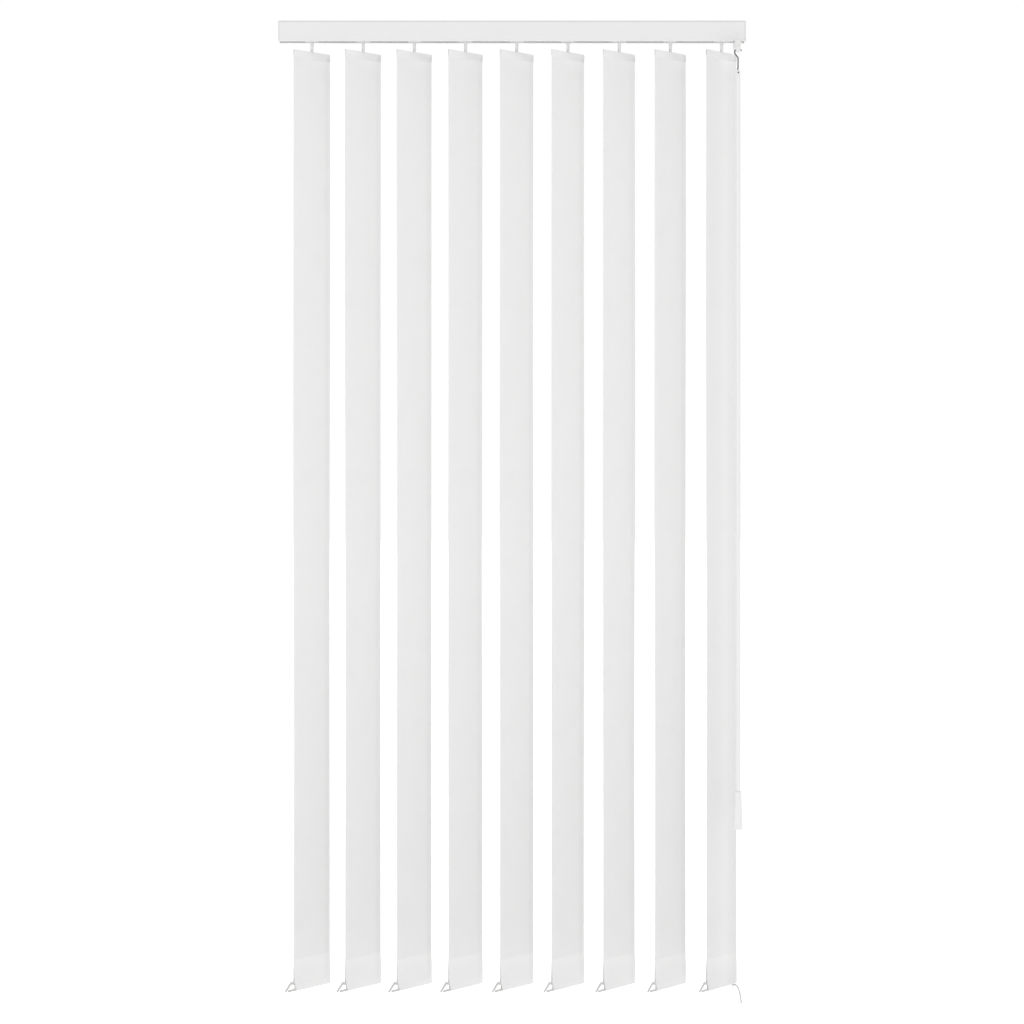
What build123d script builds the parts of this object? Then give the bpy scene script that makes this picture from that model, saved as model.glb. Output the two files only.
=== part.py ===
from build123d import *
import math
import os

# Vertical blind: a ceiling-hung head rail with nine fabric vanes, drawn and turned by one wand.
# Millimetres. +X runs along the rail, -Y is the room side, +Z is up.
# The origin is on the ceiling plane, above the middle of the rail.

# ---- driving dimensions ----
blind_width = 1200.0        # over the two end caps
vane_count = 9
first_stem_x = -514.4       # stem of the left-hand vane, blind closed across the window
vane_pitch = 131.7          # stem to stem when the vanes are spread
vane_width = 127.0
vane_top = -78.0
vane_bottom = -2483.0
vane_angle = 48.0           # of the vane's far edge from +X, as it hangs

# head rail section
rail_depth = 46.0
rail_height = 52.0
rail_wall = 1.5
rail_round = 2.5            # upper outer edges
ceiling_gap = 0.5           # between the ceiling and the rail's upper edges
clip_channel = 8.5          # depth of the channel over the web
clip_lip_reach = 4.5        # of the lips that the ceiling clips hold
lip_thick = 2.0             # lower lips, which the carriers slide on
slot_width = 20.0
cap_thick = 3.0
cap_rib_length = 8.0
cap_rib_thick = 1.2

# ceiling clips
clip_spacing = 900.0
clip_length = 42.0
clip_sheet = 1.6
clip_leg_room = 3.0         # between a clip's leg and the rail's lip
clip_hold = 0.6             # of a clip's foot under the lip
screw_hole_r = 2.5

# clearances
slide_gap = 0.2             # under a sliding piece
run_gap = 0.05              # round a shaft in its bearing
key_gap = 0.12              # round the keyed rod in its worms
belt_gap = 0.1

# tilt rod, worms and wheels
rod_z = -28.0
rod_flats = 5.0             # across the flats of the hexagonal rod
journal_r = 2.3             # round ends of the rod, in the caps
tooth_size = 0.98           # normal module of every gear
gear_backlash = 0.34        # taken off each tooth's normal thickness
gear_spread = 0.10          # added to the centre distance
tooth_slope = math.tan(math.radians(20))
worm_starts = 2
worm_helix = 80.0
wheel_teeth = 12
wheel_width = 7.0
worm_thread_length = 11.0
rod_gear_teeth = 10
riser_teeth = 7
cross_helix = 45.0
cross_gear_width = 8.0
hub_r = 3.9                 # of the worms and the rod gear
collar_r = 5.2
collar_thick = 1.2

# carriers
carrier_length = 34.0
carrier_half_depth = 19.5
carrier_base = 3.5
carrier_wall = 2.5
carrier_front = -9.0        # front faces of the end walls
bridge_thick = 2.0
bridge_top = -17.0
pivot_r = 2.0               # upper end of each stem

# spacer links, in four lanes at the front of the carriers
lane_count = 4
first_lane_y = -10.4
lane_pitch = 2.2
link_thick = 0.5
link_height = 7.0
link_lift = 1.5             # of a link's lower edge over the carrier base
link_tail = 8.0             # length behind its own stem
tab_thick = 0.9
tab_length = 6.0
stop_half = 2.0             # half-length of a stop bump
stop_height = 1.2
link_foot = 2.0

# stems and their clips
stem_r = 4.25
stem_collar_r = 6.4
stem_collar_thick = 1.6
stem_end = -71.0
prong_width = 8.0
prong_thick = 0.8
prong_end = -87.0
clip_pin_r = 1.2
clip_pin_z = -83.5

# vanes, hangers and weights
cloth = 0.5
top_pocket = (3.0, 17.0)    # thickness over all, height
foot_pocket = (3.2, 42.0)
notch_width = 15.0
notch_depth = 11.0
hanger = (110.0, 1.0, 14.0)     # length, thickness, height
weight = (121.0, 1.5, 37.0)
hanger_hole_r = 1.5
pocket_play = 0.3
corner_cut = (12.0, 21.0)   # cloth cut away at the near lower corner
claw_thick = 2.0

# wand drive
wand_x = 575.0
wand_y = -68.3
lead_overrun = 17.0         # of the lead housing past the wand's line
neck_r = 7.0
arm_top = -60.0
arm_cover_thick = 1.5
arm_height = 12.0
arm_wall = 1.2
pulley_r = 4.5
pulley_width = 5.6
belt_thick = 0.8
belt_width = 5.0
riser_r = 2.5
stub_r = 6.5
stub_bottom = -89.0
hook_eye_z = -84.0
hook_wire_r = 1.6
hook_hole_r = 1.95
hook_bend_r = 2.2
wand_top = -135.0
wand_eye_z = -141.5
wand_r = 6.0
grip_top = -1969.0
grip_bottom = -2066.0
grip_top_r = 8.8
grip_bottom_r = 12.2
grip_socket_depth = 60.0
grip_fit = 0.05

# beaded tail on the last vane: the tab that holds it, and its route across and down
bead_r = 1.6
tab_far = 49.5              # from the vane's middle, towards its far edge
tail_tab_width = 5.0
tail_drop = 2.5             # of the tail's start below the vane's lower edge
tail_route = [(0, 0), (8.5, 0), (16.5, -5.5), (23.5, -14.5), (28.5, -26), (32, -38.5), (34.5, -51.5)]

# ---- values worked out from those ----
rail_half = rail_depth / 2
rail_top = -ceiling_gap
rail_bottom = rail_top - rail_height
web_top = rail_top - clip_channel
web_bottom = web_top - rail_wall
lip_top = rail_bottom + lip_thick
inner_half = rail_half - rail_wall
rail_end = blind_width / 2 - cap_thick
carrier_bottom = lip_top + slide_gap
base_top = carrier_bottom + carrier_base
stem_collar_top = base_top + slide_gap + stem_collar_thick


def pitch_radius(teeth, helix):
    """Pitch radius of a gear with that many teeth at that helix angle."""
    return teeth * tooth_size / (2 * math.cos(math.radians(helix)))


worm_r = pitch_radius(worm_starts, worm_helix)
wheel_r = pitch_radius(wheel_teeth, 90 - worm_helix)
rod_y = worm_r + wheel_r + gear_spread
rod_gear_r = pitch_radius(rod_gear_teeth, cross_helix)
riser_gear_r = rod_y - rod_gear_r - gear_spread
stem_xs = [first_stem_x + vane_pitch * i for i in range(vane_count)]
lead_start = stem_xs[-1] + carrier_length / 2
lead_end = wand_x + lead_overrun

os.makedirs("parts", exist_ok=True)


def save(piece, label):
    """Label a finished piece and write its STEP file."""
    piece.part.label = label
    export_step(piece.part, f"parts/{label}.step")


def gear_outline(teeth, radius, helix):
    """Points of a gear's cross-section with a tooth centred on +X, as (radius, angle) pairs."""
    tip = radius + 0.9 * tooth_size
    root = radius - 1.15 * tooth_size
    arc = 1 / (radius * math.cos(math.radians(helix)))
    half_tooth = (math.pi * tooth_size - gear_backlash) / 4
    steps = 4 if helix > 60 else 1
    points = []
    for tooth in range(teeth):
        middle = 2 * math.pi * tooth / teeth
        flank = []
        for step in range(steps + 1):
            r = root + (tip - root) * step / steps
            flank.append((r, (half_tooth - (r - radius) * tooth_slope) * arc))
        points += [(r, middle - a) for r, a in flank]
        points += [(r, middle + a) for r, a in reversed(flank)]
    return points


def on_circle(r, angle):
    """The point at radius r and an angle in radians."""
    return (r * math.cos(angle), r * math.sin(angle))


def twisted_gear(teeth, radius, helix, width, start_angle=0.0):
    """A helical gear about Z, centred on z = 0, right-handed, with a tooth at start_angle there."""
    points = gear_outline(teeth, radius, helix)
    with BuildSketch() as section:
        with BuildLine():
            for one, other in zip(points, points[1:] + points[:1]):
                turn = (other[1] - one[1]) % (2 * math.pi)
                if abs(one[0] - other[0]) < 1e-9:
                    middle = on_circle(one[0], one[1] + turn / 2)
                    ThreePointArc(on_circle(*one), middle, on_circle(*other))
                else:
                    Line(on_circle(*one), on_circle(*other))
        make_face()
    twist = math.degrees(width * math.tan(math.radians(helix)) / radius)
    face = section.sketch.faces()[0].rotate(Axis.Z, start_angle - twist / 2)
    face = face.moved(Location((0, 0, -width / 2)))
    return Solid.extrude_linear_with_rotation(face, (0, 0, -width / 2), (0, 0, width), twist)


def rod_section(clearance=0.0):
    """The hexagonal rod's section, or the hole for it, in the open sketch."""
    RegularPolygon(rod_flats / 2 + clearance, 6, major_radius=False)


# ---- head rail: one aluminium extrusion ----
with BuildPart() as head_rail:
    with BuildSketch(Plane.YZ.offset(-rail_end)):
        with Locations((0, (rail_top + rail_bottom) / 2)):
            outline = Rectangle(rail_depth, rail_height)
        fillet(outline.vertices().group_by(Axis.Y)[-1], rail_round)
        with Locations((0, rail_top)):
            Rectangle(2 * (inner_half - clip_lip_reach), 2 * rail_wall, mode=Mode.SUBTRACT)
        with Locations((0, (rail_top - rail_wall + web_top) / 2)):
            Rectangle(2 * inner_half, clip_channel - rail_wall, mode=Mode.SUBTRACT)
        with Locations((0, (web_bottom + lip_top) / 2)):
            Rectangle(2 * inner_half, web_bottom - lip_top, mode=Mode.SUBTRACT)
        with Locations((0, rail_bottom + lip_thick / 2)):
            Rectangle(slot_width, 2 * lip_thick, mode=Mode.SUBTRACT)
    extrude(amount=2 * rail_end)
save(head_rail, "head_rail")


# ---- end caps: a plate over the rail's end, with ribs inside it and the rod's bearing ----
def end_cap(side):
    """The cap on one end; side is -1 on the left and 1 on the right."""
    with BuildPart() as cap:
        with BuildSketch(Plane.YZ.offset(side * rail_end)):
            with Locations((0, (rail_top + rail_bottom) / 2)):
                outline = Rectangle(rail_depth, rail_height)
            fillet(outline.vertices().group_by(Axis.Y)[-1], rail_round)
        extrude(amount=side * cap_thick)
        rim = cap.faces().filter_by(Axis.X).sort_by(Axis.X)[-1 if side > 0 else 0]
        fillet(rim.outer_wire().edges(), 0.6)
        rib_y = inner_half - cap_rib_thick / 2 - run_gap
        with Locations(
            (side * (rail_end - cap_rib_length / 2), rib_y, (web_bottom + lip_top) / 2),
            (side * (rail_end - cap_rib_length / 2), -rib_y, (web_bottom + lip_top) / 2),
        ):
            Box(cap_rib_length, cap_rib_thick, web_bottom - lip_top - 2 * run_gap)
        with BuildSketch(Plane.YZ.offset(side * rail_end)):
            with Locations((rod_y, rod_z)):
                Circle(journal_r + run_gap)
        extrude(amount=side * (cap_thick - 1), mode=Mode.SUBTRACT)
    return cap.part.solid()


def save_group(solids, label):
    """Write several separate solids that make one node."""
    group = Compound(children=solids)
    group.label = label
    export_step(group, f"parts/{label}.step")


save_group([end_cap(-1), end_cap(1)], "end_caps")

# ---- ceiling clips: screwed up first, then the rail's upper lips spring over their feet ----
with BuildPart() as ceiling_clips:
    lip_under = rail_top - rail_wall
    lip_edge = inner_half - clip_lip_reach
    leg_outer = lip_edge - clip_leg_room
    foot_outer = lip_edge + clip_hold
    foot_middle = (leg_outer + foot_outer - clip_sheet) / 2
    for side in (-1, 1):
        with BuildSketch(Plane.YZ.offset(side * clip_spacing / 2 - clip_length / 2)):
            with Locations((0, -clip_sheet / 2)):
                Rectangle(2 * leg_outer, clip_sheet)
            for edge in (-1, 1):
                with Locations((edge * (leg_outer - clip_sheet / 2), (lip_under - clip_sheet) / 2)):
                    Rectangle(clip_sheet, clip_sheet - lip_under)
                with Locations((edge * foot_middle, lip_under - clip_sheet / 2)):
                    Rectangle(foot_outer - leg_outer + clip_sheet, clip_sheet)
        extrude(amount=clip_length)
    with Locations((-clip_spacing / 2, 0, -clip_sheet / 2), (clip_spacing / 2, 0, -clip_sheet / 2)):
        Cylinder(screw_hole_r, 2 * clip_sheet, mode=Mode.SUBTRACT)
save(ceiling_clips, "ceiling_clips")

# ---- tilt rod: hexagonal, with round ends in the caps ----
rod_end = rail_end + cap_thick - 1.5
with BuildPart() as tilt_rod:
    with BuildSketch(Plane.YZ.offset(-rail_end)):
        with Locations((rod_y, rod_z)):
            rod_section()
    extrude(amount=2 * rail_end)
    with BuildSketch(Plane.YZ.offset(-rod_end)):
        with Locations((rod_y, rod_z)):
            Circle(journal_r)
    extrude(amount=2 * rod_end)
save(tilt_rod, "tilt_rod")


# ---- carriers ----
def lane_y(lane):
    """The middle of a spacer link's lane."""
    return first_lane_y - lane_pitch * (lane % lane_count)


def carrier_frame(start, end, middle):
    """A base, two end walls with the rod's bearings, and a bridge over them."""
    length = end - start
    wall_depth = carrier_half_depth - carrier_front
    wall_y = (carrier_half_depth + carrier_front) / 2
    with BuildPart() as frame:
        with Locations(((start + end) / 2, 0, carrier_bottom + carrier_base / 2)):
            Box(length, 2 * carrier_half_depth, carrier_base)
        with Locations(
            (start + carrier_wall / 2, wall_y, (base_top + bridge_top) / 2),
            (end - carrier_wall / 2, wall_y, (base_top + bridge_top) / 2),
        ):
            Box(carrier_wall, wall_depth, bridge_top - base_top)
        with Locations(((start + end) / 2, wall_y, bridge_top - bridge_thick / 2)):
            Box(length, wall_depth, bridge_thick)
        with BuildSketch(Plane.YZ.offset(start)):
            with Locations((rod_y, rod_z)):
                Circle(hub_r + run_gap)
        extrude(amount=length, mode=Mode.SUBTRACT)
        with Locations((middle, 0, bridge_top - bridge_thick / 2)):
            Cylinder(pivot_r + run_gap, 2 * bridge_thick, mode=Mode.SUBTRACT)
    return frame.part


def carrier(index):
    """One vane's carrier, with the spacer link that sets its distance from the next."""
    x = stem_xs[index]
    frame = carrier_frame(x - carrier_length / 2, x + carrier_length / 2, x)
    with BuildPart() as body:
        add(frame)
        with Locations((x, 0, carrier_bottom)):
            Cylinder(stem_r + run_gap, 4 * carrier_base, mode=Mode.SUBTRACT)
        if index > 0:
            with Locations((x, lane_y(index - 1), base_top + stop_height / 2)):
                Box(2 * stop_half, 2 * link_thick, stop_height)
        if index < vane_count - 1:
            tab_y = lane_y(index) - (link_thick + tab_thick) / 2
            tab_height = link_lift + link_height
            with Locations((x - link_tail + tab_length / 2, tab_y, base_top + tab_height / 2)):
                Box(tab_length, tab_thick, tab_height)
    if index == vane_count - 1:
        save(body, f"carrier_{index + 1}")
        return
    link_start = x - link_tail
    link_end = x + vane_pitch + stop_half + slide_gap + link_foot
    with BuildPart() as link:
        with BuildSketch(Plane.XZ.offset(-lane_y(index) - link_thick / 2)):
            low = base_top + link_lift
            with Locations(((link_start + link_end) / 2, low + link_height / 2)):
                Rectangle(link_end - link_start, link_height)
            foot_height = link_lift - slide_gap
            with Locations((link_end - link_foot / 2, low - foot_height / 2)):
                Rectangle(link_foot, foot_height)
        extrude(amount=link_thick)
    save_group([body.part.solid(), link.part.solid()], f"carrier_{index + 1}")


for index in range(vane_count):
    carrier(index)


# ---- worms, keyed on the rod and carried in the carriers' end walls ----
def rod_piece(start, end, middle, gear, label):
    """A toothed piece on the rod: the gear, a hub through both bearings and two thrust collars."""
    with BuildPart() as piece:
        with BuildSketch(Plane.YZ.offset(start)):
            with Locations((rod_y, rod_z)):
                Circle(hub_r)
        extrude(amount=end - start)
        for collar_x in (start + carrier_wall + slide_gap, end - carrier_wall - slide_gap - collar_thick):
            with BuildSketch(Plane.YZ.offset(collar_x)):
                with Locations((rod_y, rod_z)):
                    Circle(collar_r)
            extrude(amount=collar_thick)
        add(gear.moved(Location(Plane(origin=(middle, rod_y, rod_z), x_dir=(0, -1, 0), z_dir=(1, 0, 0)))))
        with BuildSketch(Plane.YZ.offset(start)):
            with Locations((rod_y, rod_z)):
                rod_section(key_gap)
        extrude(amount=end - start, mode=Mode.SUBTRACT)
    save(piece, label)


half_start = 180 / worm_starts
worm_gear = twisted_gear(worm_starts, worm_r, worm_helix, worm_thread_length, half_start)
for index, x in enumerate(stem_xs):
    rod_piece(x - carrier_length / 2, x + carrier_length / 2, x, worm_gear, f"worm_{index + 1}")
rod_gear = twisted_gear(rod_gear_teeth, rod_gear_r, cross_helix, cross_gear_width, 180 / rod_gear_teeth)
rod_piece(lead_start, lead_end, wand_x, rod_gear, "rod_gear")

# ---- stems: worm wheel, spindle and the clip that holds a vane ----
wheel_gear = twisted_gear(wheel_teeth, wheel_r, 90 - worm_helix, wheel_width, 90)


def vane_plane(index, offset=0.0):
    """The upright plane of a vane: x along its width to the far edge, y up, z out of its face."""
    across = math.radians(vane_angle)
    face = Vector(math.sin(across), -math.cos(across), 0)
    origin = Vector(stem_xs[index], 0, 0) + face * offset
    return Plane(origin=origin, x_dir=(math.cos(across), math.sin(across), 0), z_dir=face)


def stem(index):
    """One stem, from its pivot in the bridge down to the clip."""
    x = stem_xs[index]
    with BuildPart() as piece:
        add(wheel_gear.moved(Location((x, 0, rod_z))))
        for low, high, radius in (
            (stem_end, rod_z, stem_r),
            (rod_z, bridge_top - slide_gap, pivot_r),
            (base_top + slide_gap, stem_collar_top, stem_collar_r),
        ):
            with BuildSketch(Plane.XY.offset(low)):
                with Locations((x, 0)):
                    Circle(radius)
            extrude(amount=high - low)
        inner = hanger[1] / 2 + slide_gap
        for offset in (inner, -inner - prong_thick):
            with BuildSketch(vane_plane(index, offset)):
                with Locations((0, (stem_end + prong_end) / 2)):
                    Rectangle(prong_width, stem_end - prong_end)
            extrude(amount=prong_thick)
        with BuildSketch(vane_plane(index, -inner)):
            with Locations((0, clip_pin_z)):
                Circle(clip_pin_r)
        extrude(amount=2 * inner)
    save(piece, f"stem_{index + 1}")


# ---- vanes: one strip of cloth with a sewn pocket at each end ----
def vane(index):
    """A strip whose two ends are folded into pockets, with a notch for the stem's clip."""
    plane = vane_plane(index)
    profile = Plane(origin=plane.origin - plane.x_dir * vane_width / 2, x_dir=plane.z_dir, z_dir=plane.x_dir)
    top_low = vane_top - top_pocket[1]
    foot_high = vane_bottom + foot_pocket[1]
    with BuildPart() as strip:
        with BuildSketch(profile):
            with Locations((0, -(vane_top + vane_bottom) / 2)):
                Rectangle(cloth, vane_top - vane_bottom)
            for (thick, height), low in ((top_pocket, top_low), (foot_pocket, vane_bottom)):
                with Locations((0, -(low + height / 2))):
                    Rectangle(thick, height)
                    Rectangle(thick - 2 * cloth, height - 2 * cloth, mode=Mode.SUBTRACT)
        extrude(amount=vane_width)
        with BuildSketch(plane.offset(-top_pocket[0])):
            with Locations((0, vane_top - notch_depth / 2 + 1)):
                Rectangle(notch_width, notch_depth + 2)
            near = -vane_width / 2
            with BuildLine():
                Polyline(
                    (near - 1, vane_bottom - 1),
                    (near + corner_cut[0], vane_bottom - 1),
                    (near + corner_cut[0], vane_bottom + 4),
                    (near + 3, vane_bottom + corner_cut[1]),
                    (near - 1, vane_bottom + corner_cut[1]),
                    close=True,
                )
            make_face()
            if index == vane_count - 1:
                with Locations((tab_far - tail_tab_width / 2, vane_bottom)):
                    Rectangle(tail_tab_width + 2 * pocket_play, 4 * cloth)
        extrude(amount=2 * top_pocket[0], mode=Mode.SUBTRACT)
    save(strip, f"vane_{index + 1}")


# ---- fittings: the hanger in the top pocket, the weight in the bottom one ----
def fittings(index):
    """A vane's hanger and its weight, whose near end is a claw for a bead chain."""
    near = -vane_width / 2
    hanger_z = vane_top - cloth - pocket_play - hanger[2] / 2
    weight_z = vane_bottom + cloth + pocket_play + weight[2] / 2
    with BuildPart() as top_bar:
        with BuildSketch(vane_plane(index, -hanger[1] / 2)):
            with Locations((0, hanger_z)):
                RectangleRounded(hanger[0], hanger[2], 3)
            with Locations((0, clip_pin_z)):
                Circle(hanger_hole_r, mode=Mode.SUBTRACT)
        extrude(amount=hanger[1])
    with BuildPart() as foot_bar:
        with BuildSketch(vane_plane(index, -weight[1] / 2)):
            with Locations((0, weight_z)):
                RectangleRounded(weight[0], weight[2], 2)
            with BuildLine():
                Polyline(
                    (near - 1, vane_bottom - 1),
                    (near + corner_cut[0] + 2, vane_bottom - 1),
                    (near + corner_cut[0] + 2, vane_bottom + 4),
                    (near + 5, vane_bottom + corner_cut[1]),
                    (near - 1, vane_bottom + corner_cut[1]),
                    close=True,
                )
            make_face(mode=Mode.SUBTRACT)
        extrude(amount=weight[1])
        with BuildSketch(vane_plane(index, -claw_thick / 2)):
            with BuildLine():
                Polyline(
                    (near + 5.5, vane_bottom + 22),
                    (near - 10, vane_bottom + 26),
                    (near - 32, vane_bottom + 4),
                    (near - 27, vane_bottom + 2.5),
                    (near - 9, vane_bottom + 19),
                    (near + 2, vane_bottom + 16),
                    (near + 12, vane_bottom + 6.5),
                    (near - 19, vane_bottom + 6),
                    (near - 20, vane_bottom + 1),
                    (near + 38, vane_bottom + 1),
                    (near + 38, vane_bottom + 6),
                    (near + 18, vane_bottom + 12),
                    close=True,
                )
            make_face()
            if index == vane_count - 1:
                tab_low = vane_bottom - tail_drop - bead_r - pocket_play
                with Locations((tab_far - tail_tab_width / 2, (tab_low + weight_z) / 2)):
                    Rectangle(tail_tab_width, weight_z - tab_low)
        extrude(amount=claw_thick)
    save_group([top_bar.part.solid(), foot_bar.part.solid()], f"fittings_{index + 1}")


for index in range(vane_count):
    stem(index)
    vane(index)
    fittings(index)

# ---- lead housing: carries the wand's drive beside the last carrier ----
lead_frame = carrier_frame(lead_start, lead_end, wand_x)
with BuildPart() as lead_housing:
    add(lead_frame)
    with BuildSketch(Plane.XY.offset(arm_top)):
        with Locations((wand_x, 0)):
            Circle(neck_r)
    extrude(amount=base_top - arm_top)
    with BuildSketch(Plane.XY.offset(arm_top)):
        with Locations((wand_x, 0)):
            Circle(riser_r + run_gap)
    extrude(amount=base_top - arm_top, mode=Mode.SUBTRACT)
save(lead_housing, "lead_housing")


def arm_outline(radius):
    """The arm's rounded outline in the open sketch, from under the slot out to the wand."""
    with Locations((wand_x, wand_y / 2)):
        SlotOverall(2 * radius - wand_y, 2 * radius, rotation=90)


arm_floor = arm_top - arm_height
with BuildPart() as wand_arm:
    with BuildSketch(Plane.XY.offset(arm_floor)):
        arm_outline(neck_r)
    extrude(amount=arm_height - arm_cover_thick)
    with BuildSketch(Plane.XY.offset(arm_floor + arm_wall)):
        arm_outline(neck_r - arm_wall)
    extrude(amount=arm_height, mode=Mode.SUBTRACT)
    with BuildSketch(Plane.XY.offset(arm_floor)):
        with Locations((wand_x, wand_y)):
            Circle(riser_r + run_gap)
    extrude(amount=arm_wall, mode=Mode.SUBTRACT)
save(wand_arm, "wand_arm")

with BuildPart() as arm_cover:
    with BuildSketch(Plane.XY.offset(arm_top - arm_cover_thick)):
        arm_outline(neck_r)
        with Locations((wand_x, 0)):
            Circle(riser_r + run_gap, mode=Mode.SUBTRACT)
    extrude(amount=arm_cover_thick)
save(arm_cover, "arm_cover")

# ---- riser: turned by the rod gear, with the belt's driven pulley on its lower end ----
riser_gear = twisted_gear(riser_teeth, riser_gear_r, cross_helix, cross_gear_width, 90)
pulley_low = arm_floor + arm_wall + slide_gap
with BuildPart() as riser:
    add(riser_gear.moved(Location((wand_x, 0, rod_z))))
    for low, high, radius in (
        (pulley_low, rod_z, riser_r),
        (rod_z, bridge_top - slide_gap, pivot_r),
        (pulley_low, pulley_low + pulley_width, pulley_r),
    ):
        with BuildSketch(Plane.XY.offset(low)):
            with Locations((wand_x, 0)):
                Circle(radius)
        extrude(amount=high - low)
save(riser, "riser")

with BuildPart() as drive_belt:
    with BuildSketch(Plane.XY.offset(pulley_low + (pulley_width - belt_width) / 2)):
        arm_outline(pulley_r + belt_gap + belt_thick)
        with Locations((wand_x, wand_y / 2)):
            inner_r = pulley_r + belt_gap
            SlotOverall(2 * inner_r - wand_y, 2 * inner_r, rotation=90, mode=Mode.SUBTRACT)
    extrude(amount=belt_width)
save(drive_belt, "drive_belt")

# ---- tilt stub: pulley above the arm's floor, eye for the wand's hook below it ----
with BuildPart() as tilt_stub:
    for low, high, radius in (
        (pulley_low, pulley_low + pulley_width, pulley_r),
        (arm_floor - slide_gap, pulley_low, riser_r),
        (stub_bottom, arm_floor - slide_gap, stub_r),
    ):
        with BuildSketch(Plane.XY.offset(low)):
            with Locations((wand_x, wand_y)):
                Circle(radius)
        extrude(amount=high - low)
    fillet(tilt_stub.edges().filter_by(GeomType.CIRCLE).sort_by(Axis.Z)[0], 1.2)
    with BuildSketch(Plane.YZ.offset(wand_x - 2 * stub_r)):
        with Locations((wand_y, hook_eye_z)):
            Circle(hook_hole_r)
    extrude(amount=4 * stub_r, mode=Mode.SUBTRACT)
save(tilt_stub, "tilt_stub")

# ---- wand hook: one bent wire, through the stub's eye and the wand's ----
hook_points = [
    (wand_x + 9.5, wand_y, hook_eye_z),
    (wand_x - 8.6, wand_y, hook_eye_z),
    (wand_x - 8.6, wand_y, stub_bottom - 3),
    (wand_x, wand_y, stub_bottom - 14),
    (wand_x, wand_y, wand_top + 8),
    (wand_x, wand_y + wand_r + 2.2, wand_top + 2),
    (wand_x, wand_y + wand_r + 2.2, wand_eye_z),
    (wand_x, wand_y - wand_r - 3, wand_eye_z),
]
with BuildPart() as wand_hook:
    with BuildLine() as hook_line:
        FilletPolyline(*hook_points, radius=hook_bend_r)
    with BuildSketch(Plane(origin=hook_points[0], z_dir=(-1, 0, 0))):
        Circle(hook_wire_r)
    sweep(path=hook_line.line)
save(wand_hook, "wand_hook")

# ---- wand and grip ----
with BuildPart() as wand:
    socket_end = grip_top - grip_socket_depth
    with BuildSketch(Plane.XY.offset(socket_end)):
        with Locations((wand_x, wand_y)):
            Circle(wand_r)
    extrude(amount=wand_top - socket_end)
    fillet(wand.edges().filter_by(GeomType.CIRCLE).sort_by(Axis.Z)[-1], 1.5)
    with BuildSketch(Plane.XZ.offset(-wand_y - 2 * wand_r)):
        with Locations((wand_x, wand_eye_z)):
            Circle(hook_hole_r)
    extrude(amount=4 * wand_r, mode=Mode.SUBTRACT)
save(wand, "wand")

with BuildPart() as wand_grip:
    with BuildSketch(Plane.XZ.offset(-wand_y)):
        with BuildLine():
            Polyline(
                (wand_x, grip_top),
                (wand_x + grip_top_r, grip_top),
                (wand_x + grip_bottom_r, grip_bottom),
                (wand_x, grip_bottom),
                close=True,
            )
        make_face()
    revolve(axis=Axis((wand_x, wand_y, 0), (0, 0, 1)))
    fillet(wand_grip.edges().filter_by(GeomType.CIRCLE).sort_by(Axis.Z)[0], 3)
    fillet(wand_grip.edges().filter_by(GeomType.CIRCLE).sort_by(Axis.Z)[-1], 1)
    with BuildSketch(Plane.XY.offset(grip_top - grip_socket_depth)):
        with Locations((wand_x, wand_y)):
            Circle(wand_r + grip_fit)
    extrude(amount=grip_socket_depth + 1, mode=Mode.SUBTRACT)
save(wand_grip, "wand_grip")

# ---- beaded tail: the loose end of the vanes' bead chain, as a tube of the beads' diameter ----
last = vane_plane(vane_count - 1)
route = [
    last.from_local_coords((tab_far + across, vane_bottom - tail_drop + up, 0))
    for across, up in tail_route
]
route = [Vector(*point) for point in route]
runs = [other - one for one, other in zip(route, route[1:])]
radii = []
for one, other in zip(runs, runs[1:]):
    half_turn = math.radians(one.get_angle(other)) / 2
    radii.append(0.45 * min(one.length, other.length) / math.tan(half_turn))
print("tail radii", [round(radius, 1) for radius in radii])
with BuildPart() as chain_tail:
    with BuildLine() as tail_line:
        FilletPolyline(*route, radius=radii)
    with BuildSketch(Plane(origin=route[0], z_dir=runs[0])):
        Circle(bead_r)
    sweep(path=tail_line.line)
tail_length = tail_line.wires()[0].length
print("tail length", round(tail_length, 1))
print("tail volume", round(chain_tail.part.volume, 1), "of", round(math.pi * bead_r**2 * tail_length, 1))
save(chain_tail, "chain_tail")
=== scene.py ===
"""Looks of a vertical blind: a white head rail, nine hanging cloth vanes and a tilt wand.

Everything is in metres in the row frame: +X along the rail towards the wand, -Y towards the
room, +Z up, with the ceiling at z = 0.
"""

import logging
import math
from collections.abc import Sequence
from dataclasses import dataclass, field
from enum import Enum

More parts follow.
